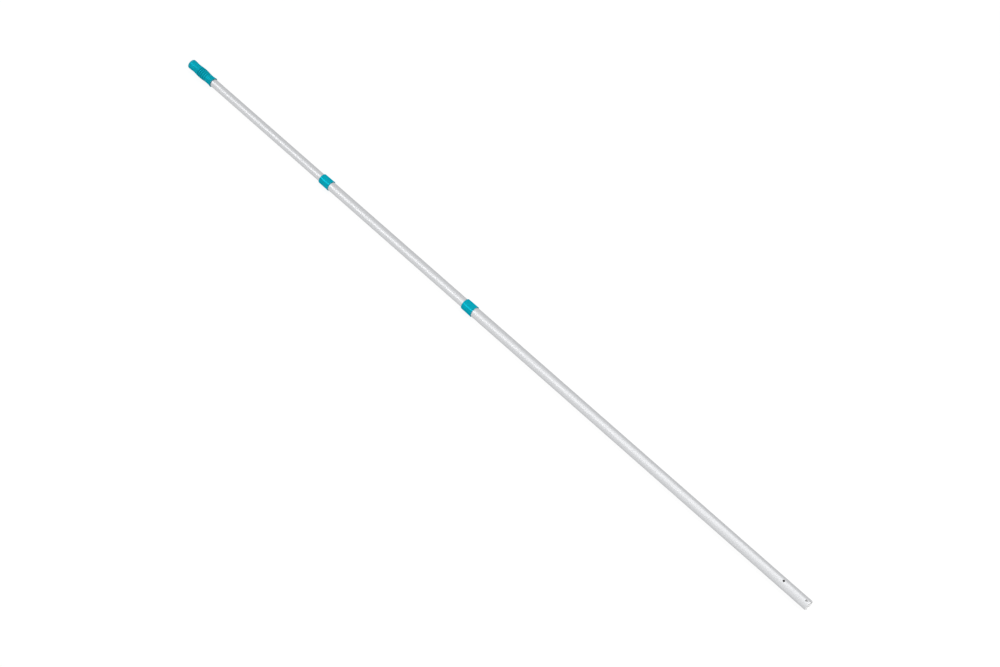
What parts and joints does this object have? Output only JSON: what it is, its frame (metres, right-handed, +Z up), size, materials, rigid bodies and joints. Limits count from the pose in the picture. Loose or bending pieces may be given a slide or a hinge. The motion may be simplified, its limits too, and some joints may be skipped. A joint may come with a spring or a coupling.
{
  "type": "telescopic pool pole",
  "caption": "Straight telescopic pole of nested aluminium tubes with twist locks, plastic collars and grip, and an open socket end with button holes for pool tools.",
  "frame": {"origin": "centre of the open socket mouth, on the pole's axis", "axes": "+X along the pole's axis, out of the socket mouth and away from the hand grip; +Z up as the pole lies, along the axis of the button holes; +Y to the side"},
  "size_m": [2.39, 0.034, 0.034],
  "materials": {
    "anodised_aluminium": "satin anodised, drawn lengthways",
    "teal_plastic": "moulded polypropylene, soft gloss",
    "teal_grip": "dipped soft vinyl, soft gloss",
    "lock_polyamide": "moulded natural polyamide",
    "lock_acetal": "moulded black acetal",
    "stainless_steel": "plain stainless steel"
  },
  "bodies": {
    "outer_section": {"outer_tube": "anodised_aluminium", "outer_collar": "teal_plastic"},
    "middle_glide": {"middle_glide_ring": "lock_acetal"},
    "middle_section": {"middle_tube": "anodised_aluminium", "middle_collar": "teal_plastic", "middle_lock_plug": "lock_polyamide", "middle_roll_pin": "stainless_steel", "middle_cam_washer": "stainless_steel", "middle_cam_screw": "stainless_steel"},
    "middle_lock_cam": {"middle_cam": "lock_acetal"},
    "inner_glide": {"inner_glide_ring": "lock_acetal"},
    "inner_section": {"inner_tube": "anodised_aluminium", "hand_grip": "teal_grip", "inner_lock_plug": "lock_polyamide", "inner_roll_pin": "stainless_steel", "inner_cam_washer": "stainless_steel", "inner_cam_screw": "stainless_steel"},
    "inner_lock_cam": {"inner_cam": "lock_acetal"}
  },
  "joints": [
    {"name": "middle_slide", "type": "slide", "parent": "outer_section", "child": "middle_glide", "axis": [1, 0, 0], "range_m": [0, 0.5375]},
    {"name": "middle_twist", "type": "hinge", "parent": "middle_glide", "child": "middle_section", "pos_m": [-1.2132, 0, 0], "axis": [1, 0, 0], "range_deg": [-45, 45]},
    {"name": "middle_cam_turn", "type": "hinge", "parent": "middle_section", "child": "middle_lock_cam", "pos_m": [-1.2012, 0, -0.0007], "axis": [1, 0, 0], "range_deg": [-45, 45]},
    {"name": "inner_slide", "type": "slide", "parent": "middle_section", "child": "inner_glide", "axis": [1, 0, 0], "range_m": [0, 0.4635]},
    {"name": "inner_twist", "type": "hinge", "parent": "inner_glide", "child": "inner_section", "pos_m": [-1.7892, 0, 0], "axis": [1, 0, 0], "range_deg": [-45, 45]},
    {"name": "inner_cam_turn", "type": "hinge", "parent": "inner_section", "child": "inner_lock_cam", "pos_m": [-1.7772, 0, -0.0007], "axis": [1, 0, 0], "range_deg": [-45, 45]}
  ],
  "couplings": [
    {"joint": "middle_cam_turn", "follows": "middle_twist", "ratio": -1},
    {"joint": "inner_cam_turn", "follows": "inner_twist", "ratio": -1}
  ]
}
